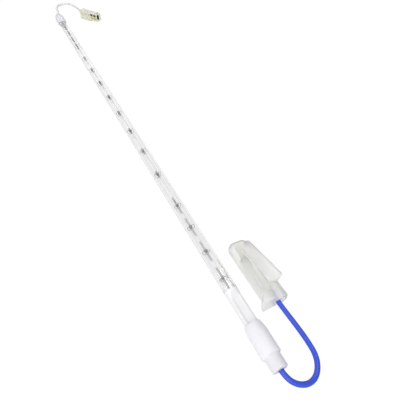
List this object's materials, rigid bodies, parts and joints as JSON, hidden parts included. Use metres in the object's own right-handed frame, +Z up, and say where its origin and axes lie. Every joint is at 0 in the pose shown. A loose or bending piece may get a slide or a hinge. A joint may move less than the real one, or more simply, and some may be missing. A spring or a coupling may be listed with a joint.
{
  "type": "fuser heater lamp",
  "caption": "Double-ended quartz halogen heater lamp for a copier fuser, with stepped ceramic bases and a short lead and nylon connector on each end.",
  "frame": {"origin": "on the plane that the lamp lies on, under the middle of its length over the two bases", "axes": "+X along the lamp to the end with the blue lead, +Z up, and both connectors on the +Y side"},
  "size_m": [0.4229, 0.0407, 0.011],
  "materials": {
    "quartz": "clear and polished",
    "tungsten": "dark grey drawn wire",
    "support_wire": "dark grey drawn wire",
    "molybdenum": "satin foil and rod",
    "plated_steel": "nickel plated",
    "white_ceramic": "unglazed, fine and matt",
    "cement": "rough",
    "blue_insulation": "smooth silicone, semi-matt",
    "white_insulation": "smooth silicone, semi-matt",
    "milky_nylon": "translucent moulded nylon",
    "yellow_nylon": "translucent moulded nylon",
    "brass": "bright stamped sheet"
  },
  "bodies": {
    "root": {"quartz_tube": "quartz", "filament": "tungsten", "support_ring_01": "support_wire", "support_ring_02": "support_wire", "support_ring_03": "support_wire", "support_ring_04": "support_wire", "support_ring_05": "support_wire", "support_ring_06": "support_wire", "support_ring_07": "support_wire", "support_ring_08": "support_wire", "support_ring_09": "support_wire", "support_ring_10": "support_wire", "support_ring_11": "support_wire", "support_ring_12": "support_wire", "support_ring_13": "support_wire", "support_ring_14": "support_wire", "support_ring_15": "support_wire", "support_ring_16": "support_wire", "near_inner_lead": "tungsten", "near_moly_foil": "molybdenum", "near_outer_lead": "molybdenum", "near_crimp_sleeve": "plated_steel", "near_ceramic_base": "white_ceramic", "near_cement_fill": "cement", "far_inner_lead": "tungsten", "far_moly_foil": "molybdenum", "far_outer_lead": "molybdenum", "far_crimp_sleeve": "plated_steel", "far_ceramic_base": "white_ceramic", "far_cement_fill": "cement", "blue_lead": "blue_insulation", "white_lead": "white_insulation", "near_housing": "milky_nylon", "far_housing": "yellow_nylon", "near_terminal": "brass", "far_terminal": "brass"}
  },
  "joints": []
}
